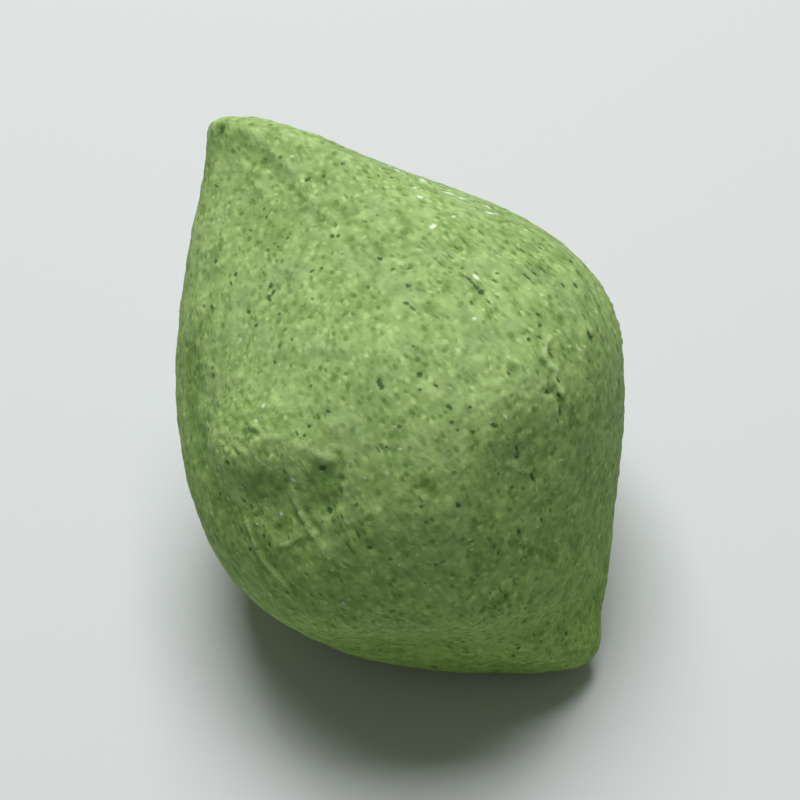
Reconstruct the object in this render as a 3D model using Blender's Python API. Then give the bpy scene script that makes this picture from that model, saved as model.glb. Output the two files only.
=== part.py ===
"""A songpyeon, a Korean rice cake: one solid lump of leaf dough, pinched by hand to a point
at both ends.

The lump is a fat, slightly lopsided spindle. It lies tilted on the flank of its lower end, on
a small spot that its own weight has pressed flat, with the other end raised.

A place on the skin has two coordinates. "Along" runs from 0 at the low tip to 1 at the raised
tip. "Around" is the angle about the long axis, in degrees: 0 on top, 90 towards +Y, 180 below.
"""

import math

import bmesh
import bpy
from mathutils import Vector

MM = 0.001

# The spindle, tip to tip, and how steeply its long axis rises from the floor.
LENGTH = 68.0 * MM
AXIS_RISE = 38.0

# The two flanks, opposite each other. The lump is fuller on one side than on the other, and
# the skin between them is a blend. From each tip a flank opens out as spread * distance ** bow,
# with the distance and the spread as shares of the length, and where the two ends meet they
# round off into a shoulder: the higher its number, the tighter the turn.
SLIM_FLANK = {
    "around": -66.0,
    "low": {"spread": 0.780, "bow": 0.92},
    "raised": {"spread": 0.566, "bow": 0.65},
    "shoulder": 5.0,
}
FULL_FLANK = {
    "around": 114.0,
    "low": {"spread": 1.000, "bow": 0.72},
    "raised": {"spread": 1.125, "bow": 1.03},
    "shoulder": 1.5,
}

# The finger pinches at the tips. Each tip has ridges, given by where they lie around, and
# between two ridges the skin is pressed in: a hollow of 1 makes the face between them flat,
# and more makes it concave. The nub is the rounding of the very tip.
LOW_PINCH = {"ridges": (-150.0, -58.0, 48.0, 118.0), "hollow": 1.1, "reach": 0.42, "nub": 1.9 * MM}
RAISED_PINCH = {"ridges": (-110.0, -30.0, 112.0, 180.0), "hollow": 0.8, "reach": 0.42, "nub": 0.7 * MM}
DEEPEST_HOLLOW = 0.30
CREST_ROUNDING = 0.12

# Finger dents, swellings and ridges. Each lies at one place or along a line of places, given as
# (along, around). Then come how far it spreads, its height, and its edge: 1 is a soft bell, and
# more gives a flatter middle with a clearer rim.
LUMPS = (
    # The raised tip: a ridge on top, with a long pressed face beside it.
    (((0.975, -45.0), (0.93, -30.0), (0.84, -30.0)), 2.2 * MM, 0.5 * MM, 1.0),
    (((0.95, 2.0), (0.90, 2.0), (0.82, 14.0)), 2.8 * MM, -0.7 * MM, 1.0),
    (((0.90, 38.0), (0.83, 44.0), (0.76, 50.0)), 6.0 * MM, -0.7 * MM, 1.0),
    # The left shoulder: a swelling, a thumb dent under it, and a notch near the edge.
    (((0.625, 74.0), (0.61, 58.0)), 3.0 * MM, 0.8 * MM, 1.0),
    (((0.555, 80.0), (0.53, 70.0), (0.495, 60.0)), 3.2 * MM, -0.8 * MM, 1.0),
    (((0.79, 94.0),), 3.2 * MM, 0.4 * MM, 1.0),
    (((0.71, 92.0), (0.67, 84.0)), 3.4 * MM, -0.4 * MM, 1.0),
    # The right shoulder: it turns down early, with a dimple pressed into the turn.
    (((0.46, 34.0),), 10.0 * MM, 0.3 * MM, 1.0),
    (((0.36, 10.0),), 8.0 * MM, -0.2 * MM, 1.0),
    (((0.385, 4.0), (0.39, 16.0)), 3.6 * MM, -0.8 * MM, 1.0),
    (((0.38, -30.0),), 7.0 * MM, -0.15 * MM, 1.0),
    # The low tip: a broad swelling, a crest, and the long face pressed in below it.
    (((0.32, 66.0), (0.27, 44.0)), 7.0 * MM, 0.5 * MM, 1.0),
    (((0.33, 80.0), (0.265, 58.0), (0.20, 32.0), (0.13, 0.0)), 2.8 * MM, 0.7 * MM, 1.0),
    (((0.26, 84.0), (0.20, 68.0), (0.15, 44.0), (0.10, 14.0)), 2.8 * MM, -0.8 * MM, 1.0),
    (((0.16, 70.0),), 9.5 * MM, -1.2 * MM, 2.0),
    # The far side and the underside.
    (((0.60, -142.0),), 11.0 * MM, -0.8 * MM, 1.0),
    (((0.32, -105.0),), 9.0 * MM, 0.5 * MM, 1.0),
    (((0.70, 146.0),), 9.0 * MM, 0.5 * MM, 1.0),
    (((0.78, -58.0),), 8.0 * MM, -0.4 * MM, 1.0),
)
LUMP_FREE_TIP = 0.08

# The resting spot is flat because the soft underside has sunk by this much.
PRESS_DEPTH = 1.0 * MM

# Points of the skin: round the girth, and from tip to tip.
GIRTH_SEGMENTS = 96
LENGTH_SEGMENTS = 58
TIP_CROWDING = 0.45

DOUGH_COLOR = (0.24, 0.36, 0.11, 1.0)
DOUGH_ROUGHNESS = 0.85


def angle_between(around, other):
    """The angle from one meridian to the other, between -180 and 180 degrees."""
    return (around - other + 180.0) % 360.0 - 180.0


def ease(value):
    """A smooth step from 0 to 1."""
    value = min(max(value, 0.0), 1.0)
    return value * value * (3.0 - 2.0 * value)


def flank_radius(flank, along):
    """The radius of one flank."""
    low = flank["low"]["spread"] * along ** flank["low"]["bow"]
    raised = flank["raised"]["spread"] * (1.0 - along) ** flank["raised"]["bow"]
    if min(low, raised) <= 0.0:
        return 0.0
    turn = -flank["shoulder"]
    return LENGTH * (low ** turn + raised ** turn) ** (1.0 / turn)


def spindle_radius(along, around):
    """The radius of the lopsided spindle, before any pinch or dent."""
    turn = math.radians(angle_between(around, FULL_FLANK["around"]))
    fullness = 0.5 + 0.5 * math.cos(turn)
    slim = flank_radius(SLIM_FLANK, along)
    full = flank_radius(FULL_FLANK, along)
    return slim + (full - slim) * fullness


def pinch_factor(pinch, from_tip, around):
    """How far the pinch narrows the skin: 1 on a ridge, and less between the ridges."""
    after = min((ridge - around) % 360.0 for ridge in pinch["ridges"])
    before = min((around - ridge) % 360.0 for ridge in pinch["ridges"])
    gap = max(after + before, 1.0)
    flat_face = 1.0 - math.cos(math.radians(min(gap / 2.0, 90.0)))
    bowl = math.hypot(math.sin(math.pi * before / gap), CREST_ROUNDING) - CREST_ROUNDING
    fade = 1.0 - ease(from_tip / pinch["reach"])
    return 1.0 - fade * min(pinch["hollow"] * flat_face, DEEPEST_HOLLOW) * bowl


def nub_radius(pinch, from_tip):
    """The small rounded nub of a tip, which fades out within a few millimetres."""
    distance = from_tip * LENGTH
    return math.sqrt(2.0 * pinch["nub"] * distance * math.exp(-distance / pinch["nub"]))


def distance_to_line(places, along, around, radius):
    """How far a point lies, over the skin, from a line of places or from a single place."""
    spots = []
    for place_along, place_around in places:
        turn = math.radians(angle_between(place_around, around))
        spots.append(Vector(((place_along - along) * LENGTH, turn * radius)))
    nearest = min(spot.length for spot in spots)
    for start, end in zip(spots, spots[1:]):
        run = end - start
        share = min(max(-start.dot(run) / run.length_squared, 0.0), 1.0)
        nearest = min(nearest, (start + run * share).length)
    return nearest


def lump_height(along, around, radius):
    """The sum of the dents, swellings and ridges."""
    height = 0.0
    for places, size, lift, edge in LUMPS:
        distance = distance_to_line(places, along, around, radius) / size
        height += lift * math.exp(-distance ** (2.0 * edge))
    return height * ease(min(along, 1.0 - along) / LUMP_FREE_TIP)


def skin_radius(along, around):
    """The distance of the skin from the long axis."""
    radius = spindle_radius(along, around)
    radius *= pinch_factor(LOW_PINCH, along, around)
    radius *= pinch_factor(RAISED_PINCH, 1.0 - along, around)
    radius += lump_height(along, around, radius)
    nub = nub_radius(LOW_PINCH, along) + nub_radius(RAISED_PINCH, 1.0 - along)
    return math.hypot(radius, nub)


def skin_point(along, around):
    """A point of the skin, with the middle of the long axis at the origin."""
    rise = math.radians(AXIS_RISE)
    axis = Vector((math.cos(rise), 0.0, math.sin(rise)))
    top = Vector((-math.sin(rise), 0.0, math.cos(rise)))
    side = Vector((0.0, 1.0, 0.0))
    turn = math.radians(around)
    outward = top * math.cos(turn) + side * math.sin(turn)
    return axis * (along - 0.5) * LENGTH + outward * skin_radius(along, around)


def tip_to_tip(height):
    """Where a point of the unit sphere, at a height from -1 to 1, lies along the lump."""
    even = 1.0 - math.acos(min(max(height, -1.0), 1.0)) / math.pi
    crowded = 0.5 + 0.5 * height
    return even + (crowded - even) * TIP_CROWDING


def rest_on_floor(mesh):
    """Lower the lump to the floor, flatten what would sink in, and centre it over the origin."""
    lowest = min(vert.co.z for vert in mesh.verts)
    for vert in mesh.verts:
        vert.co.z = max(vert.co.z - lowest - PRESS_DEPTH, 0.0)
    for axis in (0, 1):
        reach = [vert.co[axis] for vert in mesh.verts]
        middle = (min(reach) + max(reach)) / 2.0
        for vert in mesh.verts:
            vert.co[axis] -= middle


def dough_material():
    """Matte rice dough, green from its leaves."""
    material = bpy.data.materials.new("dough")
    material.use_nodes = True
    shader = material.node_tree.nodes["Principled BSDF"]
    shader.inputs["Base Color"].default_value = DOUGH_COLOR
    shader.inputs["Roughness"].default_value = DOUGH_ROUGHNESS
    shader.inputs["Metallic"].default_value = 0.0
    return material


def rice_cake(collection):
    """The whole lump: a sphere whose points are moved out to the skin."""
    mesh = bmesh.new()
    bmesh.ops.create_uvsphere(
        mesh, u_segments=GIRTH_SEGMENTS, v_segments=LENGTH_SEGMENTS, radius=1.0
    )
    for vert in mesh.verts:
        around = math.degrees(math.atan2(vert.co.y, vert.co.x))
        vert.co = skin_point(tip_to_tip(vert.co.z), around)
    rest_on_floor(mesh)
    bmesh.ops.triangulate(mesh, faces=mesh.faces)
    bmesh.ops.recalc_face_normals(mesh, faces=mesh.faces)
    data = bpy.data.meshes.new("songpyeon")
    mesh.to_mesh(data)
    mesh.free()
    data.materials.append(dough_material())
    cake = bpy.data.objects.new("songpyeon", data)
    collection.objects.link(cake)
    return cake


def main():
    for item in list(bpy.data.objects):
        bpy.data.objects.remove(item, do_unlink=True)
    collection = bpy.data.collections.new("songpyeon")
    bpy.context.scene.collection.children.link(collection)
    rice_cake(collection)


main()
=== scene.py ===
import math

import bmesh
import bpy
import numpy as np
from mathutils import Matrix, Vector, kdtree, noise


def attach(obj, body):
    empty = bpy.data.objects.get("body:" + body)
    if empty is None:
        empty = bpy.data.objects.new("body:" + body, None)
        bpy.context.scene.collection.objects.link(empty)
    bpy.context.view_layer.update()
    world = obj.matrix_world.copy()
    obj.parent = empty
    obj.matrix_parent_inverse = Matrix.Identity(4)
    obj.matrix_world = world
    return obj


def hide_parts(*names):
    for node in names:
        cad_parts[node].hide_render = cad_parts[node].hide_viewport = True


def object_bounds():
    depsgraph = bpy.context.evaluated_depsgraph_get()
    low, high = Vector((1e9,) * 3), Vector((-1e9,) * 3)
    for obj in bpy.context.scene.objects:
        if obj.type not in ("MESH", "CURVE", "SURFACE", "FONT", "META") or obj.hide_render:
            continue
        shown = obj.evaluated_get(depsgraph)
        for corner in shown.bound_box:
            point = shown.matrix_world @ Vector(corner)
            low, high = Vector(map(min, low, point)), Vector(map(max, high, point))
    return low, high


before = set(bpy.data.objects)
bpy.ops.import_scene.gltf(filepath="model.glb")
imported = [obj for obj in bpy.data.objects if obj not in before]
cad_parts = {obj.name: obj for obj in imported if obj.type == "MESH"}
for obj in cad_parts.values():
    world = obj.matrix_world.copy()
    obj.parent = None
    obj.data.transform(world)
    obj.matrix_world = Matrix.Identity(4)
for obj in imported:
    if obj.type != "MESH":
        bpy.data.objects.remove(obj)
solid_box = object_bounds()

# ---------------------------------------------------------------------------------------------
# The rice cake. One lump of steamed rice dough, kneaded green with chopped leaf, rolled between
# the palms and pinched to a point at both ends. It is dry and matte outside, a little floury,
# and keeps every finger mark. It lies on the flank of its lower end.
# ---------------------------------------------------------------------------------------------

MM = 0.001

# The solid is covered anew with small even faces, then smoothed as a palm would.
SAME_CORNER = 0.001 * MM
SKIN_FACE = 0.34 * MM
PALM_STROKES = 10
PALM_WEIGHT = 0.5

# The long axis climbs from the low tip to the raised tip.
AXIS_RISE = math.radians(38.0)
LONG_AXIS = np.array([math.cos(AXIS_RISE), 0.0, math.sin(AXIS_RISE)])
TOP_SIDE = np.array([-math.sin(AXIS_RISE), 0.0, math.cos(AXIS_RISE)])
LEFT_SIDE = np.array([0.0, 1.0, 0.0])


def covered_anew(solid):
    """A copy of the solid in small even faces, with the corners between its facets smoothed."""
    mesh = bmesh.new()
    mesh.from_mesh(solid.data)
    bmesh.ops.remove_doubles(mesh, verts=mesh.verts, dist=SAME_CORNER)
    data = bpy.data.meshes.new("songpyeon_dough")
    mesh.to_mesh(data)
    mesh.free()
    cake = bpy.data.objects.new("songpyeon_dough", data)
    bpy.context.scene.collection.objects.link(cake)
    remesh = cake.modifiers.new("even faces", "REMESH")
    remesh.mode = "VOXEL"
    remesh.voxel_size = SKIN_FACE
    palm = cake.modifiers.new("palm", "SMOOTH")
    palm.factor = PALM_WEIGHT
    palm.iterations = PALM_STROKES
    shaped = bpy.data.meshes.new_from_object(
        cake.evaluated_get(bpy.context.evaluated_depsgraph_get())
    )
    cake.modifiers.clear()
    cake.data = shaped
    bpy.data.meshes.remove(data)
    return cake


cake = covered_anew(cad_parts["songpyeon"])
point_count = len(cake.data.vertices)
points = np.empty(point_count * 3)
cake.data.vertices.foreach_get("co", points)
points = points.reshape(-1, 3)
normals = np.empty(point_count * 3)
cake.data.vertices.foreach_get("normal", normals)
normals = normals.reshape(-1, 3)

# Where each point of the skin lies: "along" from 0 at the low tip to 1 at the raised tip, and
# "around" the long axis in degrees, 0 on top and 90 on the left side.
lengthways = points @ LONG_AXIS
low_tip = points[lengthways.argmin()]
raised_tip = points[lengthways.argmax()]
length = float(lengthways.max() - lengthways.min())
along = (lengthways - lengthways.min()) / length
from_axis = points - (low_tip + raised_tip) / 2.0
upward = from_axis @ TOP_SIDE
sideways = from_axis @ LEFT_SIDE
around = np.degrees(np.arctan2(sideways, upward))
girth_radius = np.hypot(upward, sideways)


def soft_step(value):
    """A smooth step from 0 to 1, for arrays."""
    value = np.clip(value, 0.0, 1.0)
    return value * value * (3.0 - 2.0 * value)


SEED_SHIFT = (17.3, 9.1, 5.7)


def uneven(places, seed):
    """Smooth noise between about -1 and 1 at each place, in lumps of one unit. Each seed reads
    it somewhere else."""
    shift = Vector([seed * step for step in SEED_SHIFT])
    return np.array([noise.noise(Vector(place) + shift) for place in places])


def lumps(size, seed):
    """Unevenness over the whole skin, from about -1 to 1, in lumps of a size in mm."""
    return uneven(points / (size * MM), seed)


def offset_from(place):
    """How far each point lies from an (along, around) place, in mm: ahead of it and across."""
    turn = np.radians((around - place[1] + 180.0) % 360.0 - 180.0)
    return (along - place[0]) * length / MM, turn * girth_radius / MM


def away_from(way):
    """How far each point lies over the skin, in mm, from a place or from a line of places."""
    ahead, across = offset_from(way[0])
    nearest = np.hypot(ahead, across)
    for start, end in zip(way, way[1:]):
        ahead, across = offset_from(start)
        run = (end[0] - start[0]) * length / MM
        drift = math.radians(end[1] - start[1]) * girth_radius / MM
        share = np.clip((ahead * run + across * drift) / (run * run + drift * drift), 0.0, 1.0)
        nearest = np.minimum(nearest, np.hypot(ahead - share * run, across - share * drift))
    return nearest


def marked(place):
    """The number of the skin point nearest to an (along, around) place."""
    ahead, across = offset_from(place)
    return int(np.hypot(ahead, across).argmin())


# Hand work, as heights in mm: broad unevenness from the palms, then the smaller lumps of the
# kneaded dough. Each has a height, the size of its lumps, and a seed of its own.
relief = 0.13 * lumps(8.0, 1) + 0.08 * lumps(2.6, 2)
fine_relief = 0.075 * lumps(1.4, 3) + 0.06 * lumps(0.8, 4)

# Drawn-out fibres run from tip to tip, deeper over the share of the length at each end where the
# fingers pulled the dough to a point. A circle of 20 fibres across its radius has about 125 of
# them side by side around the cake.
FIBRE_LENGTH = 4.0 * MM
FIBRE_CIRCLE = 20.0
FIBRE_HEIGHT = 0.015
ADDED_AT_TIPS = 0.06
PINCHED_SHARE = 0.30
tip_nearness = 1.0 - soft_step(np.minimum(along, 1.0 - along) / PINCHED_SHARE)
turned = np.radians(around)
drawn = np.stack(
    [
        lengthways / FIBRE_LENGTH,
        np.cos(turned) * FIBRE_CIRCLE,
        np.sin(turned) * FIBRE_CIRCLE,
    ],
    axis=1,
)
fine_relief += (FIBRE_HEIGHT + ADDED_AT_TIPS * tip_nearness) * uneven(drawn, 5)

# Crumbly patches, where dry dough broke up and was pressed flat again: (way, size in mm, share).
CRUMBLY = (
    (((0.63, 72.0), (0.62, 61.0), (0.63, 54.0)), 2.4, 1.0),
    (((0.665, 72.0), (0.66, 62.0)), 2.0, 1.0),
    (((0.56, 84.0), (0.53, 66.0), (0.48, 66.0)), 2.6, 0.6),
    (((0.71, 84.0),), 3.0, 0.5),
    (((0.50, 4.0),), 3.4, 0.6),
    (((0.60, -12.0),), 3.4, 0.4),
    (((0.34, 76.0), (0.27, 52.0), (0.20, 34.0)), 3.0, 0.7),
    (((0.16, 82.0), (0.08, 45.0)), 3.0, 0.8),
    (((0.42, -58.0),), 5.0, 0.8),
    (((0.66, -118.0),), 6.0, 0.9),
    (((0.35, 150.0),), 5.0, 0.9),
    (((0.80, 170.0),), 4.0, 0.7),
)
# The crumbs stand this high, in mm, on a bed sunk just deep enough to keep the patch level.
CRUMB_HEIGHT = 0.50
CRUMB_BED = 0.155
crumbly = np.zeros(point_count)
for way, size, share in CRUMBLY:
    crumbly = np.maximum(crumbly, share * np.exp(-(away_from(way) / size) ** 2))
crumbs = np.abs(lumps(0.95, 6)) + 0.6 * np.abs(lumps(0.6, 7))
fine_relief += crumbly * (CRUMB_HEIGHT * crumbs - CRUMB_BED)

# Where a fingertip pressed the dough smooth and damp, it is darker. Some of these darker
# patches are painted shade, on facets and in hollows that face away from the lamp:
# (way, half-width in mm, extra depth in mm, darkness).
PRESSED = (
    (((0.57, 72.0), (0.56, 66.0), (0.55, 61.0)), 1.8, 0.05, 0.9),
    (((0.59, 86.0), (0.55, 84.0), (0.50, 77.0), (0.46, 71.0)), 2.1, 0.0, 0.7),
    (((0.505, 65.0), (0.495, 69.0)), 1.0, 0.15, 0.9),
    (((0.535, 49.5), (0.505, 54.0)), 1.65, 0.50, 1.25),
    (((0.50, 71.0), (0.48, 65.0), (0.47, 58.0)), 1.3, 0.0, 0.6),
    # Painted shade over the crumbly patch.
    (((0.67, 71.0), (0.65, 62.0), (0.63, 54.0)), 2.0, 0.0, 0.6),
    (((0.44, 10.0), (0.39, 9.0), (0.36, 8.0)), 2.6, 0.0, 0.5),
    # Painted shade on the facet beside the ridge at the raised tip.
    (((0.93, 4.0), (0.88, 8.0), (0.83, 11.0)), 1.8, 0.05, 0.5),
    (((0.96, 12.0), (0.91, 20.0), (0.85, 26.0)), 2.6, 0.0, 0.55),
    # Painted shade in the hollow at the left edge.
    (((0.74, 90.0), (0.67, 93.0), (0.63, 88.0)), 2.0, 0.15, 1.0),
    (((0.30, -96.0),), 4.0, 0.15, 0.6),
    (((0.60, -142.0),), 5.0, 0.0, 0.5),
    (((0.74, 140.0),), 3.6, 0.20, 0.6),
)
ragged = 0.5 * lumps(0.9, 8) + 1.1 * lumps(3.0, 11)
damp_and_shade = np.zeros(point_count)
for way, half_width, depth, darkness in PRESSED:
    away = np.maximum(away_from(way) + ragged, 0.0) / half_width
    dip = np.exp(-away ** 4)
    relief -= depth * dip
    damp_and_shade = np.maximum(damp_and_shade, darkness * dip)

# Lines left by fingers and by the edge of the fold: (way, half-width in mm, height in mm,
# paleness). A lip stands up and a crack goes in.
LINES = (
    # The fan of ridges at the raised tip, the valley in it, and a short groove to its left. The
    # paleness along the ridges is partly painted highlight, where they face the lamp.
    (((0.96, -21.0), (0.93, -12.0), (0.90, -8.0), (0.84, 0.5), (0.80, 4.0)), 0.42, 0.20, 0.5),
    (((0.97, -52.0), (0.92, -42.0), (0.86, -38.0)), 0.34, 0.18, 0.3),
    (((0.93, -4.0), (0.90, 0.0), (0.85, 6.0), (0.80, 9.5)), 0.70, -0.09, 0.0),
    (((0.93, 24.0), (0.87, 21.0)), 0.30, 0.12, 0.3),
    (((0.80, 66.0), (0.76, 71.0)), 0.30, -0.12, 0.0),
    # The blunt nose between the two finger dents, the lips between, below and left of them, and
    # a cut at the edge of the right one.
    (((0.60, 53.0), (0.575, 49.5), (0.555, 47.0)), 0.80, 0.13, 0.6),
    (((0.54, 58.5), (0.52, 60.0), (0.50, 61.0)), 0.31, 0.21, 0.95),
    (((0.50, 61.0), (0.47, 60.5)), 0.31, 0.22, 0.9),
    (((0.47, 60.5), (0.43, 60.0)), 0.30, 0.13, 0.65),
    (((0.48, 61.0), (0.475, 67.0), (0.48, 72.0)), 0.31, 0.18, 0.8),
    (((0.53, 78.0), (0.50, 78.0), (0.46, 78.0), (0.42, 76.0)), 0.31, 0.24, 0.9),
    (((0.46, 88.0), (0.38, 83.0)), 0.30, 0.14, 0.6),
    (((0.61, 98.0), (0.55, 94.0)), 0.30, 0.14, 0.6),
    (((0.55, 44.0), (0.52, 46.0)), 0.30, -0.18, 0.0),
    # The broken crack on the right shoulder, its hook, and the short cuts and the lip near them.
    (((0.50, -14.0), (0.49, -9.0), (0.46, -10.0), (0.45, -8.0), (0.43, -8.5)), 0.31, 0.20, 1.0),
    (((0.52, -14.5), (0.51, -12.0)), 0.30, -0.20, 0.0),
    (((0.49, -12.0), (0.47, -11.0)), 0.30, -0.22, 0.0),
    (((0.46, -9.0), (0.44, -9.0)), 0.30, -0.18, 0.0),
    (((0.45, -4.0), (0.44, -6.5), (0.42, -7.0), (0.40, -5.5)), 0.30, -0.16, 0.0),
    (((0.43, 7.5), (0.40, 10.0)), 0.30, -0.15, 0.0),
    (((0.46, -27.0), (0.44, -27.0)), 0.30, -0.18, 0.0),
    (((0.635, -9.0), (0.605, -8.5), (0.59, -8.0)), 0.30, -0.24, 0.0),
    (((0.40, 13.0), (0.38, 11.0), (0.37, 9.0)), 0.30, 0.16, 0.7),
    # The low end.
    (((0.30, 24.0), (0.22, 14.0)), 0.30, -0.12, 0.0),
    (((0.13, 72.0), (0.07, 56.0)), 0.30, 0.16, 0.5),
    (((0.10, 64.0), (0.05, 30.0)), 0.30, 0.16, 0.5),
    # The far side and the underside.
    (((0.25, -62.0), (0.34, -70.0), (0.40, -71.0)), 0.35, -0.20, 0.0),
    (((0.70, -84.0), (0.79, -93.0)), 0.35, 0.18, 0.6),
    (((0.48, 132.0), (0.58, 126.0), (0.66, 128.0)), 0.35, 0.20, 0.6),
    (((0.60, -160.0), (0.71, -168.0)), 0.35, -0.18, 0.0),
)
# Beside each line the dough gave way the other way: how far out, in half-widths, and by how
# much of the line's own height.
GAVE_WAY_AT = 2.2
GAVE_WAY_SHARE = 0.3
wobble = 0.16 * lumps(1.6, 9)
broken = 0.75 + 0.6 * lumps(1.3, 10)
pale = np.zeros(point_count)
for way, half_width, height, paleness in LINES:
    away = (away_from(way) + wobble) / half_width
    line = np.exp(-away ** 2) * broken
    fine_relief += height * (line - GAVE_WAY_SHARE * np.exp(-(away - GAVE_WAY_AT) ** 2))
    pale = np.maximum(pale, paleness * line)

# A small round crater with a raised edge, on the right shoulder. Its sizes are in mm.
CRATER_PLACE = (0.50, 0.0)
CRATER_RADIUS = 0.6
CRATER_DEPTH = 0.16
EDGE_RADIUS = 0.95
EDGE_WIDTH = 0.3
EDGE_HEIGHT = 0.09
from_crater = away_from((CRATER_PLACE,))
fine_relief -= CRATER_DEPTH * np.exp(-(from_crater / CRATER_RADIUS) ** 4)
fine_relief += EDGE_HEIGHT * np.exp(-((from_crater - EDGE_RADIUS) / EDGE_WIDTH) ** 2)

# Small pits, pale grains of coarser rice flour, and bits of leaf, scattered by a fixed draw. Pits
# and grains lie at any turn, in degrees. Their half-lengths, depths and height are in mm.
PITS = 420
PIT_SIZES = (0.30, 0.65)
PIT_SLIMNESS = 0.7
PIT_DEPTHS = (0.04, 0.12)
GRAINS = 420
GRAIN_SIZES = (0.24, 0.42)
GRAIN_SLIMNESS = 0.8
GRAIN_HEIGHT = 0.06
GRAIN_PALENESS = (0.4, 1.0)
ANY_TURN = (-90.0, 90.0)
draw = np.random.RandomState(14)
skin_tree = kdtree.KDTree(point_count)
for number, place in enumerate(points):
    skin_tree.insert(place, number)
skin_tree.balance()
leaf_and_shade = np.zeros(point_count)

# A spot has faded out at this many times its half-length. At the very tips the skin faces along
# the axis, and the second number keeps the sum there from dividing by nothing.
SPOT_REACH = 2.2
NEXT_TO_NOTHING = 1e-9


def spot(number, long_size, short_size, turn):
    """The skin points in an oval spot, and how strongly each belongs to it. The sizes are its
    half-length and half-width in mm, and the turn is in degrees from the long axis."""
    found = skin_tree.find_range(points[number], SPOT_REACH * long_size * MM)
    members = np.array([item[1] for item in found])
    normal = normals[number]
    forward = LONG_AXIS - normal * (LONG_AXIS @ normal)
    forward /= np.linalg.norm(forward) + NEXT_TO_NOTHING
    beside = np.cross(normal, forward)
    lean = math.radians(turn)
    stretch = forward * math.cos(lean) + beside * math.sin(lean)
    cross = beside * math.cos(lean) - forward * math.sin(lean)
    offset = points[members] - points[number]
    span = np.hypot(offset @ stretch / (long_size * MM), offset @ cross / (short_size * MM))
    return members, np.exp(-span ** 2)


for number in draw.randint(0, point_count, PITS):
    size = draw.uniform(*PIT_SIZES)
    members, strength = spot(number, size, size * PIT_SLIMNESS, draw.uniform(*ANY_TURN))
    fine_relief[members] -= draw.uniform(*PIT_DEPTHS) * strength
for number in draw.randint(0, point_count, GRAINS):
    size = draw.uniform(*GRAIN_SIZES)
    members, strength = spot(number, size, size * GRAIN_SLIMNESS, draw.uniform(*ANY_TURN))
    fine_relief[members] += GRAIN_HEIGHT * strength
    pale[members] = np.maximum(pale[members], strength * draw.uniform(*GRAIN_PALENESS))

# The boldest bits of leaf on the shown side are listed one by one:
# (place, half-length and half-width in mm, turn, darkness).
LEAF_AND_SHADE_BITS = (
    ((0.88, 34.0), 0.36, 0.32, 0.0, 0.7),
    ((0.86, 29.0), 0.46, 0.30, 40.0, 0.7),
    ((0.81, 25.0), 0.36, 0.34, 0.0, 0.8),
    ((0.78, 9.0), 0.44, 0.34, 10.0, 0.9),
    ((0.81, 61.0), 0.38, 0.34, 0.0, 0.9),
    ((0.84, 74.0), 0.42, 0.34, 0.0, 0.9),
    ((0.80, 64.0), 0.70, 0.28, 15.0, 0.8),
    ((0.77, 44.0), 0.46, 0.34, -20.0, 0.95),
    ((0.76, 47.0), 0.58, 0.30, 10.0, 0.95),
    ((0.76, 25.0), 0.46, 0.28, 80.0, 0.85),
    ((0.79, 77.0), 0.56, 0.30, 30.0, 0.9),
    ((0.72, 4.0), 0.40, 0.34, 0.0, 0.95),
    ((0.70, 4.0), 0.52, 0.30, -50.0, 0.8),
    ((0.67, 4.5), 0.40, 0.36, 0.0, 0.95),
    ((0.655, 9.0), 0.38, 0.34, 0.0, 0.9),
    ((0.69, 0.0), 0.46, 0.28, 60.0, 0.8),
    ((0.605, -8.5), 0.42, 0.40, 0.0, 1.0),
    # Painted shade along the cut above the crack on the right shoulder.
    ((0.63, -9.0), 0.95, 0.28, 0.0, 0.8),
    ((0.615, -9.0), 0.65, 0.28, 0.0, 0.9),
    ((0.59, -8.0), 0.65, 0.29, -10.0, 0.75),
    ((0.52, -36.0), 0.42, 0.38, 0.0, 0.95),
    ((0.595, 27.0), 0.78, 0.32, -10.0, 1.0),
    ((0.60, 47.0), 0.44, 0.32, 60.0, 0.8),
    ((0.545, 49.5), 0.50, 0.38, 70.0, 1.0),
    ((0.49, 54.0), 0.44, 0.42, 0.0, 1.0),
    ((0.55, 76.0), 0.42, 0.34, 60.0, 0.85),
    ((0.485, 73.5), 0.42, 0.34, 0.0, 0.9),
    ((0.49, 81.0), 0.44, 0.34, 0.0, 0.9),
    ((0.61, 74.0), 0.46, 0.32, -30.0, 0.8),
    ((0.50, 19.0), 0.40, 0.34, 0.0, 0.85),
    ((0.47, 16.0), 0.40, 0.34, 0.0, 0.85),
    ((0.46, 11.0), 0.56, 0.28, 50.0, 1.0),
    ((0.40, 10.0), 0.44, 0.30, 60.0, 0.9),
    ((0.36, 9.0), 0.85, 0.29, 5.0, 0.85),
    ((0.455, -27.5), 0.75, 0.28, 10.0, 0.95),
    ((0.43, 35.0), 0.36, 0.32, 0.0, 0.8),
    ((0.40, 28.0), 0.40, 0.34, 60.0, 0.9),
    ((0.30, 28.0), 0.40, 0.36, 0.0, 0.75),
    ((0.33, 46.0), 0.46, 0.36, 40.0, 0.7),
    # Painted shade in the cuts of the broken crack on the right shoulder and the short cuts near
    # it.
    ((0.52, -14.5), 0.44, 0.30, 80.0, 0.8),
    ((0.51, -12.0), 0.44, 0.30, 30.0, 0.85),
    ((0.48, -11.5), 0.90, 0.28, -15.0, 0.75),
    ((0.45, -9.0), 0.70, 0.28, 0.0, 0.75),
    ((0.445, -5.0), 0.75, 0.28, 55.0, 0.70),
    ((0.43, -7.0), 0.75, 0.28, 10.0, 0.75),
    ((0.41, -6.0), 0.80, 0.28, -25.0, 0.80),
    ((0.41, 9.0), 0.65, 0.28, -30.0, 0.8),
)
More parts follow.
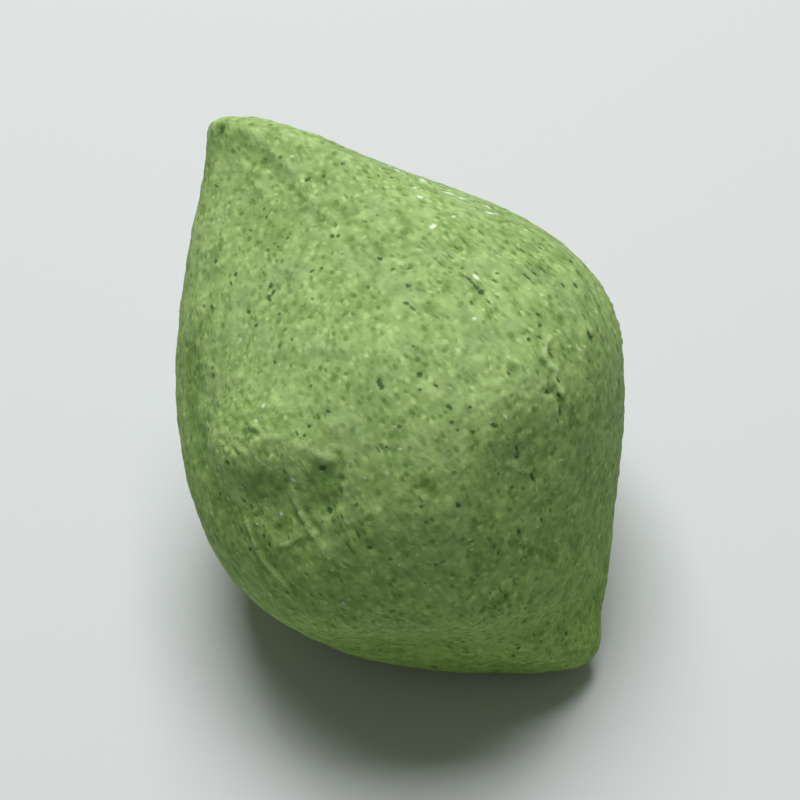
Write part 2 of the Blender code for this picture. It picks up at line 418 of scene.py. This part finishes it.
# The rest fall where the draw puts them, most of them along the cake. Their half-length is
# between two sizes in mm, and none is slimmer than the skin's faces can show.
SCATTERED_BITS = 150
BIT_LONG = (0.32, 0.55)
BIT_SLIMNESS = (0.5, 1.0)
BIT_LEAN = 35.0
BIT_DARKNESS = (0.6, 0.9)
SLIMMEST = 0.28
BIT_DEPTH = 0.04
bits = [(marked(place), *rest) for place, *rest in LEAF_AND_SHADE_BITS]
for number in draw.randint(0, point_count, SCATTERED_BITS):
    long_size = draw.uniform(*BIT_LONG)
    short_size = max(long_size * draw.uniform(*BIT_SLIMNESS), SLIMMEST)
    lean = draw.normal(0.0, BIT_LEAN)
    bits.append((number, long_size, short_size, lean, draw.uniform(*BIT_DARKNESS)))
for number, long_size, short_size, lean, darkness in bits:
    members, strength = spot(number, long_size, short_size, lean)
    leaf_and_shade[members] = np.maximum(leaf_and_shade[members], darkness * strength)
    fine_relief[members] -= BIT_DEPTH * darkness * strength

# Combs of short furrows, where fingertips dragged the dry skin aslant: the place of the first and
# of the last furrow, how many there are, and their darkness, which is painted shade in the
# furrows, in the green of the leaf.
COMBS = (
    ((0.67, -8.0), (0.67, -20.0), 4, 0.65),
    ((0.58, -24.0), (0.57, -31.0), 3, 0.75),
    ((0.75, 8.0), (0.73, 2.0), 3, 0.50),
    ((0.64, 8.0), (0.61, 3.0), 4, 0.50),
    ((0.52, -44.0), (0.47, -40.0), 4, 0.60),
    ((0.24, 30.0), (0.22, 44.0), 5, 0.50),
)
# Half the length and half the width of a furrow in mm, its depth in mm, and its slant.
FURROW_LONG = 0.85
FURROW_WIDE = 0.32
FURROW_DEPTH = 0.20
FURROW_SLANT = -12.0
for first_place, last_place, furrows, darkness in COMBS:
    for step in range(furrows):
        share = step / (furrows - 1)
        place = tuple(a + (b - a) * share for a, b in zip(first_place, last_place))
        members, strength = spot(marked(place), FURROW_LONG, FURROW_WIDE, FURROW_SLANT)
        leaf_and_shade[members] = np.maximum(leaf_and_shade[members], darkness * strength)
        fine_relief[members] -= FURROW_DEPTH * strength

# Specks of dry flour that the kneading left almost white: (place, half-length and half-width in
# mm, turn, whiteness). The largest are listed as well.
# The whitest of them are painted glints as well as flour, on grains that catch the lamp.
FLOUR_AND_GLINT_SPECKS = (
    ((0.71, -17.5), 0.60, 0.28, -85.0, 1.0),
    ((0.70, -27.0), 0.44, 0.28, -85.0, 0.7),
    ((0.75, -28.0), 0.44, 0.28, 20.0, 1.0),
    ((0.76, -32.0), 0.36, 0.28, 20.0, 0.8),
    ((0.625, -11.0), 0.50, 0.28, 0.0, 1.0),
    ((0.585, -1.5), 0.34, 0.32, 0.0, 0.8),
    ((0.46, -20.0), 0.50, 0.28, 0.0, 0.7),
    ((0.46, 8.0), 0.46, 0.34, 0.0, 0.7),
    ((0.65, 57.0), 0.40, 0.34, -30.0, 0.8),
    ((0.64, 60.0), 0.40, 0.30, 30.0, 0.7),
    ((0.55, 57.0), 0.46, 0.30, 20.0, 0.8),
    ((0.55, 91.0), 0.38, 0.34, 0.0, 0.8),
    ((0.515, 66.0), 0.38, 0.34, 0.0, 0.7),
    ((0.44, 78.0), 0.36, 0.34, 0.0, 0.7),
)
SCATTERED_SPECKS = 70
SPECK_SIZES = (0.28, 0.38)
SPECK_SLIMNESS = 0.9
SPECK_WHITENESS = (0.35, 0.7)
SPECK_HEIGHT = 0.05
specks = [(marked(place), *rest) for place, *rest in FLOUR_AND_GLINT_SPECKS]
for number in draw.randint(0, point_count, SCATTERED_SPECKS):
    size = draw.uniform(*SPECK_SIZES)
    lean = draw.uniform(*ANY_TURN)
    specks.append((number, size, SPECK_SLIMNESS * size, lean, draw.uniform(*SPECK_WHITENESS)))

# A dusting of it lies along the far edge of the raised half, partly flour and partly a painted
# highlight along that lit edge: from where, over how much of the length, and how far around,
# with its spread.
DUST_AND_HIGHLIGHT_SPECKS = 22
DUST_AND_HIGHLIGHT_FROM = 0.82
DUST_AND_HIGHLIGHT_RUN = 0.16
DUST_AND_HIGHLIGHT_AROUND = -44.5
DUST_AND_HIGHLIGHT_SPREAD = 3.0
DUST_AND_HIGHLIGHT_LONG = (0.32, 0.60)
DUST_AND_HIGHLIGHT_WIDE = 0.32
DUST_AND_HIGHLIGHT_LEAN = 20.0
DUST_AND_HIGHLIGHT_WHITENESS = (0.5, 1.0)
for share in draw.uniform(0.0, 1.0, DUST_AND_HIGHLIGHT_SPECKS):
    number = marked((DUST_AND_HIGHLIGHT_FROM - DUST_AND_HIGHLIGHT_RUN * share, draw.normal(DUST_AND_HIGHLIGHT_AROUND, DUST_AND_HIGHLIGHT_SPREAD)))
    long_size = draw.uniform(*DUST_AND_HIGHLIGHT_LONG)
    lean = draw.normal(0.0, DUST_AND_HIGHLIGHT_LEAN)
    specks.append((number, long_size, DUST_AND_HIGHLIGHT_WIDE, lean, draw.uniform(*DUST_AND_HIGHLIGHT_WHITENESS)))
flour_and_glint = np.zeros(point_count)
for number, long_size, short_size, lean, whiteness in specks:
    members, strength = spot(number, long_size, short_size, lean)
    flour_and_glint[members] = np.maximum(flour_and_glint[members], whiteness * strength)
    fine_relief[members] += SPECK_HEIGHT * strength

# The pip: the very end of the raised tip was nipped off and left a small hollow, painted dark
# as painted shade. Its half-length, half-width and depth are in mm.
PIP_PLACE = (0.985, 5.0)
PIP_LONG = 0.85
PIP_WIDE = 0.5
PIP_TURN = -50.0
PIP_DEPTH = 0.40
PIP_SHADE = 0.8
members, strength = spot(marked(PIP_PLACE), PIP_LONG, PIP_WIDE, PIP_TURN)
fine_relief[members] -= PIP_DEPTH * strength
leaf_and_shade[members] = np.maximum(leaf_and_shade[members], PIP_SHADE * strength)

# The pressed spot underneath stays flat, and nothing stands out past the solid.
FLAT_UP_TO = 1.2 * MM
lying = soft_step(points[:, 2] / FLAT_UP_TO)
height = (relief + fine_relief) * lying * MM
points = points + normals * height[:, None]
points = np.clip(points, np.array(solid_box[0]), np.array(solid_box[1]))
cake.data.vertices.foreach_set("co", points.ravel())
cake.data.update()
cake.data.shade_smooth()

# What the finish needs to know about each point. Hollows are painted darker, as painted shade,
# fully from a depth in mm, and the four marks are stored as the red, green, blue and alpha of a
# colour.
FULLY_SUNKEN = 0.16
hollow_shade = np.clip(-fine_relief / FULLY_SUNKEN, 0.0, 1.0)
marks = cake.data.attributes.new("marks", "FLOAT_COLOR", "POINT")
marks.data.foreach_set(
    "color", np.stack([leaf_and_shade, pale, hollow_shade, crumbly], axis=1).astype(np.float32).ravel()
)
for name, values in (("damp_and_shade", damp_and_shade), ("flour_and_glint", flour_and_glint)):
    attribute = cake.data.attributes.new(name, "FLOAT", "POINT")
    attribute.data.foreach_set("value", values.astype(np.float32))


def add(tree, kind, inputs, **settings):
    """One node, with its settings, and each input either joined up or set."""
    made = tree.nodes.new(kind)
    for name, value in settings.items():
        setattr(made, name, value)
    for name, value in inputs.items():
        if isinstance(value, bpy.types.NodeSocket):
            tree.links.new(value, made.inputs[name])
        else:
            made.inputs[name].default_value = value
    return made


def reckon(tree, operation, first, second=0.0, third=0.0):
    """The result of a Math node."""
    inputs = {0: first, 1: second, 2: third}
    return add(tree, "ShaderNodeMath", inputs, operation=operation).outputs[0]


def between(tree, value, low, high, to_low=0.0, to_high=1.0):
    """A value eased from one range to another."""
    inputs = {"Value": value, 1: low, 2: high, 3: to_low, 4: to_high}
    spread = add(tree, "ShaderNodeMapRange", inputs, interpolation_type="SMOOTHSTEP")
    return spread.outputs["Result"]


def tinted(tree, share, first, second, blend="MIX"):
    """Two colours mixed by a share."""
    inputs = {0: share, 6: first, 7: second}
    return add(tree, "ShaderNodeMix", inputs, data_type="RGBA", blend_type=blend).outputs[2]


def cloud(tree, where, scale, detail=2.0):
    """Soft noise from 0 to 1, even about 0.5. The scale is in lumps to the millimetre."""
    inputs = {"Vector": where, "Scale": scale, "Detail": detail}
    return add(tree, "ShaderNodeTexNoise", inputs).outputs["Fac"]


def scattered(tree, where, scale, share, reach, edge):
    """Bits scattered one to a cell, in a share of the cells, each with its own strength."""
    cells = add(tree, "ShaderNodeTexVoronoi", {"Vector": where, "Scale": scale})
    lot = add(tree, "ShaderNodeSeparateColor", {"Color": cells.outputs["Color"]}).outputs
    size = between(tree, lot[0], 1.0 - share, 1.0 - 0.5 * share, -edge, reach)
    inside = reckon(tree, "SUBTRACT", size, cells.outputs["Distance"])
    strength = between(tree, lot[1], 0.0, 1.0, 0.4, 1.0)
    return reckon(tree, "MULTIPLY", between(tree, inside, 0.0, edge), strength)


def grains(tree, where, scale):
    """Touching grains, one to a cell, each darker or paler than the rest: from -0.5 to 0.5."""
    cells = add(tree, "ShaderNodeTexVoronoi", {"Vector": where, "Scale": scale})
    lot = add(tree, "ShaderNodeSeparateColor", {"Color": cells.outputs["Color"]}).outputs[0]
    middle = between(tree, cells.outputs["Distance"], 0.20, 0.62, 1.0, 0.0)
    return reckon(tree, "MULTIPLY", reckon(tree, "SUBTRACT", lot, 0.5), middle)


DEEP_GREEN = (0.126, 0.222, 0.045, 1.0)
PALE_GREEN = (0.348, 0.500, 0.172, 1.0)
GREY_GREEN = (0.255, 0.365, 0.165, 1.0)
DAMP_AND_PAINTED_SHADE = (0.54, 0.66, 0.42, 1.0)
UNDERSIDE_PAINTED_SHADE = (0.90, 0.98, 0.66, 1.0)
LEAF_AND_SHADE_GREEN = (0.036, 0.082, 0.015, 1.0)
FAINT_LEAF = (0.110, 0.205, 0.042, 1.0)
GRAIN_GREEN = (0.450, 0.600, 0.260, 1.0)
FLOUR_AND_HIGHLIGHT_GREEN = (0.430, 0.590, 0.235, 1.0)
FLOUR_AND_GLINT_WHITE = (0.700, 0.780, 0.600, 1.0)


def dough_finish():
    """Dry green dough: mottled, with dark bits of leaf, pale grains and drawn-out streaks, and
    with painted shade and painted highlights.
    """
    finish = bpy.data.materials.new("leaf dough")
    finish.use_nodes = True
    tree = finish.node_tree
    shader = tree.nodes["Principled BSDF"]

    # The skin in millimetres, then turned so that X runs along the cake, bent a little so that
    # nothing lines up, and drawn out along the cake for oval and for slim bits.
    place = add(tree, "ShaderNodeTexCoord", {}).outputs["Object"]
    in_mm = add(tree, "ShaderNodeMapping", {"Vector": place, "Scale": (1.0 / MM,) * 3}).outputs[0]
    lengthwise = add(
        tree, "ShaderNodeMapping", {"Vector": in_mm, "Rotation": (0.0, AXIS_RISE, 0.0)}
    ).outputs[0]
    bend = add(tree, "ShaderNodeTexNoise", {"Vector": in_mm, "Scale": 0.40, "Detail": 0.0})
    wavy = add(
        tree,
        "ShaderNodeVectorMath",
        {0: bend.outputs["Color"], 1: (0.7, 0.7, 0.7), 2: lengthwise},
        operation="MULTIPLY_ADD",
    ).outputs[0]
    oval = add(tree, "ShaderNodeMapping", {"Vector": wavy, "Scale": (0.70, 1.0, 1.0)}).outputs[0]
    slim = add(tree, "ShaderNodeMapping", {"Vector": wavy, "Scale": (0.36, 1.2, 1.2)}).outputs[0]

    # What was noted about each point of the skin.
    marks = add(tree, "ShaderNodeAttribute", {}, attribute_name="marks")
    split = add(tree, "ShaderNodeSeparateColor", {"Color": marks.outputs["Color"]})
    leaf_and_shade, pale, hollow_shade = split.outputs
    crumbly = marks.outputs["Alpha"]
    damp_and_shade = add(tree, "ShaderNodeAttribute", {}, attribute_name="damp_and_shade").outputs["Fac"]
    flour_and_glint = add(tree, "ShaderNodeAttribute", {}, attribute_name="flour_and_glint").outputs["Fac"]

    # The ground colour: from deep to pale green, in lumps from 6 mm down to a quarter of one.
    fine = cloud(tree, in_mm, 4.2)
    share = reckon(tree, "MULTIPLY_ADD", cloud(tree, in_mm, 0.16, 1.0), 0.40, -0.69)
    share = reckon(tree, "MULTIPLY_ADD", cloud(tree, in_mm, 0.55, 1.0), 0.90, share)
    share = reckon(tree, "MULTIPLY_ADD", cloud(tree, oval, 1.2, 1.0), 0.90, share)
    share = reckon(tree, "MULTIPLY_ADD", grains(tree, oval, 1.7), 1.10, share)
    share = reckon(tree, "MULTIPLY_ADD", fine, 0.20, share)
    share = reckon(tree, "MULTIPLY_ADD", crumbly, 0.32, share)
    # Hollows are painted darker: painted shade.
    share = reckon(tree, "MULTIPLY_ADD", hollow_shade, -0.35, share)
    color = tinted(tree, share, DEEP_GREEN, PALE_GREEN)
    greyish = between(tree, cloud(tree, in_mm, 0.24, 1.0), 0.46, 0.66, 0.0, 0.22)
    color = tinted(tree, greyish, color, GREY_GREEN)

    # Short dark furrows along the cake and round pale crumbs between them.
    furrow = scattered(tree, slim, 1.25, 0.90, 0.42, 0.28)
    color = tinted(tree, reckon(tree, "MULTIPLY", furrow, 0.60), color, FAINT_LEAF)
    crumb = scattered(tree, wavy, 1.35, 0.70, 0.38, 0.28)
    crumb_share = reckon(tree, "MULTIPLY_ADD", crumbly, 0.50, 0.32)
    color = tinted(tree, reckon(tree, "MULTIPLY", crumb, crumb_share), color, GRAIN_GREEN)

    # The colour is painted a deeper, darker green towards the bottom: painted shade, for the
    # shade that falls on the underside. The fingertip marks are darker too: partly damp, partly
    # painted shade.
    level = add(tree, "ShaderNodeSeparateXYZ", {"Vector": in_mm}).outputs["Z"]
    underside_shade = between(tree, level, 10.0, 47.0, 1.0, 0.0)
    color = tinted(tree, underside_shade, color, UNDERSIDE_PAINTED_SHADE, "MULTIPLY")
    damp_and_shade = between(tree, reckon(tree, "MULTIPLY_ADD", fine, -0.5, damp_and_shade), 0.0, 0.7, 0.0, 0.70)
    color = tinted(tree, damp_and_shade, color, DAMP_AND_PAINTED_SHADE, "MULTIPLY")

    # Pale grains and lips, with painted highlight along the ridges at the raised tip; dry specks
    # of flour and painted glints; then bits of leaf, and painted shade in cuts, furrows and the
    # pip;
    # all with uneven edges.
    rough_edge = reckon(tree, "MULTIPLY_ADD", fine, 0.6, -0.3)
    grain = between(tree, reckon(tree, "ADD", pale, rough_edge), 0.20, 0.80)
    color = tinted(tree, reckon(tree, "MULTIPLY", grain, 0.85), color, FLOUR_AND_HIGHLIGHT_GREEN)
    flour_and_glint_grain = between(tree, reckon(tree, "ADD", flour_and_glint, rough_edge), 0.25, 0.80, 0.0, 0.85)
    color = tinted(tree, flour_and_glint_grain, color, FLOUR_AND_GLINT_WHITE)
    dashes = scattered(tree, slim, 1.00, 0.24, 0.22, 0.09)
    color = tinted(tree, reckon(tree, "MULTIPLY", dashes, 0.75), color, LEAF_AND_SHADE_GREEN)
    bold = scattered(tree, wavy, 0.80, 0.26, 0.22, 0.09)
    color = tinted(tree, reckon(tree, "MULTIPLY", bold, 0.85), color, LEAF_AND_SHADE_GREEN)
    leaf_and_shade_bit = between(tree, reckon(tree, "ADD", leaf_and_shade, rough_edge), 0.35, 0.70, 0.0, 0.90)
    color = tinted(tree, leaf_and_shade_bit, color, LEAF_AND_SHADE_GREEN)
    tree.links.new(color, shader.inputs["Base Color"])

    # The finest grain is too small for the skin's faces. The dough is matte, and lets a little
    # light in.
    rough = cloud(tree, in_mm, 2.2, 1.0)
    grain_relief = add(
        tree, "ShaderNodeBump", {"Strength": 0.40, "Distance": 0.12 * MM, "Height": rough}
    )
    tree.links.new(grain_relief.outputs["Normal"], shader.inputs["Normal"])
    tree.links.new(between(tree, fine, 0.3, 0.7, 0.72, 0.92), shader.inputs["Roughness"])
    shader.inputs["Specular IOR Level"].default_value = 0.35
    shader.inputs["Subsurface Weight"].default_value = 0.15
    shader.inputs["Subsurface Radius"].default_value = (0.6, 1.0, 0.3)
    shader.inputs["Subsurface Scale"].default_value = 0.9 * MM
    return finish


cake.data.materials.clear()
cake.data.materials.append(dough_finish())
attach(cake, "root")
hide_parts("songpyeon")

# ---------------------------------------------------------------------------------------------
# The surface that the cake lies on. A plain sheet of pale matte card, laid flat, and wide enough
# to fill the view from every side. It is there for the view alone, and no part of the cake.
# ---------------------------------------------------------------------------------------------

SHEET_WIDTH = 3.0
SHEET_GREY = (0.500, 0.540, 0.505, 1.0)
SHEET_ROUGHNESS = 0.7

bpy.ops.mesh.primitive_plane_add(size=SHEET_WIDTH)
pale_surface = bpy.context.object
pale_surface.name = "pale_surface"
pale_finish = bpy.data.materials.new("pale surface")
pale_finish.use_nodes = True
pale_shader = pale_finish.node_tree.nodes["Principled BSDF"]
pale_shader.inputs["Base Color"].default_value = SHEET_GREY
pale_shader.inputs["Roughness"].default_value = SHEET_ROUGHNESS
pale_surface.data.materials.append(pale_finish)

# ---------------------------------------------------------------------------------------------
# The view and the light. A long lens looks down on the cake from in front, with the low tip
# nearest. One broad soft lamp hangs above the cake, a little behind it as the lens sees it, in
# a dim pale room that fills the shadows.
# ---------------------------------------------------------------------------------------------

VIEW_AZIMUTH = math.radians(-133.5)
VIEW_ELEVATION = math.radians(54.8)
VIEW_ROLL = math.radians(-2.0)
VIEW_DISTANCE = 0.2084
AIM_ABOVE = 0.7 * MM
LENS = 92.25
SENSOR_WIDTH = 36.0

box_low, box_high = solid_box
view_back = Vector(
    (
        math.sin(VIEW_AZIMUTH) * math.cos(VIEW_ELEVATION),
        -math.cos(VIEW_AZIMUTH) * math.cos(VIEW_ELEVATION),
        math.sin(VIEW_ELEVATION),
    )
)
camera = bpy.data.objects.new("camera", bpy.data.cameras.new("camera"))
bpy.context.scene.collection.objects.link(camera)
camera.data.lens = LENS
camera.data.sensor_width = SENSOR_WIDTH
camera.location = (box_low + box_high) / 2.0 + view_back * VIEW_DISTANCE
level = view_back.to_track_quat("Z", "Y").to_matrix().to_4x4()
camera.rotation_euler = (level @ Matrix.Rotation(VIEW_ROLL, 4, "Z")).to_euler()
camera.location += level.to_3x3() @ Vector((0.0, AIM_ABOVE, 0.0))
bpy.context.scene.camera = camera

# The lamp, placed by how far right of the cake, behind it and above it hangs, as the lens sees
# it. It is square, and faces the foot of the cake.
LAMP_RIGHT = -0.02
LAMP_BEHIND = 0.26
LAMP_ABOVE = 0.70
LAMP_WIDTH = 0.40
LAMP_POWER = 7.1
LAMP_COLOR = (1.04, 1.0, 1.09)
view_right = Vector((math.cos(VIEW_AZIMUTH), math.sin(VIEW_AZIMUTH), 0.0))
view_away = Vector((-math.sin(VIEW_AZIMUTH), math.cos(VIEW_AZIMUTH), 0.0))
lamp = bpy.data.lights.new("overhead light", "AREA")
lamp.size = LAMP_WIDTH
lamp.energy = LAMP_POWER
lamp.color = LAMP_COLOR
hung_lamp = bpy.data.objects.new("overhead light", lamp)
bpy.context.scene.collection.objects.link(hung_lamp)
lamp_place = view_right * LAMP_RIGHT + view_away * LAMP_BEHIND + Vector((0.0, 0.0, LAMP_ABOVE))
hung_lamp.location = lamp_place
hung_lamp.rotation_euler = lamp_place.to_track_quat("Z", "Y").to_euler()

ROOM_COLOR = (0.93, 1.0, 0.86, 1.0)
ROOM_STRENGTH = 0.18
room = bpy.data.worlds.new("room")
room.use_nodes = True
room_light = room.node_tree.nodes["Background"]
room_light.inputs["Color"].default_value = ROOM_COLOR
room_light.inputs["Strength"].default_value = ROOM_STRENGTH
bpy.context.scene.world = room
bpy.context.scene.view_settings.view_transform = "Standard"
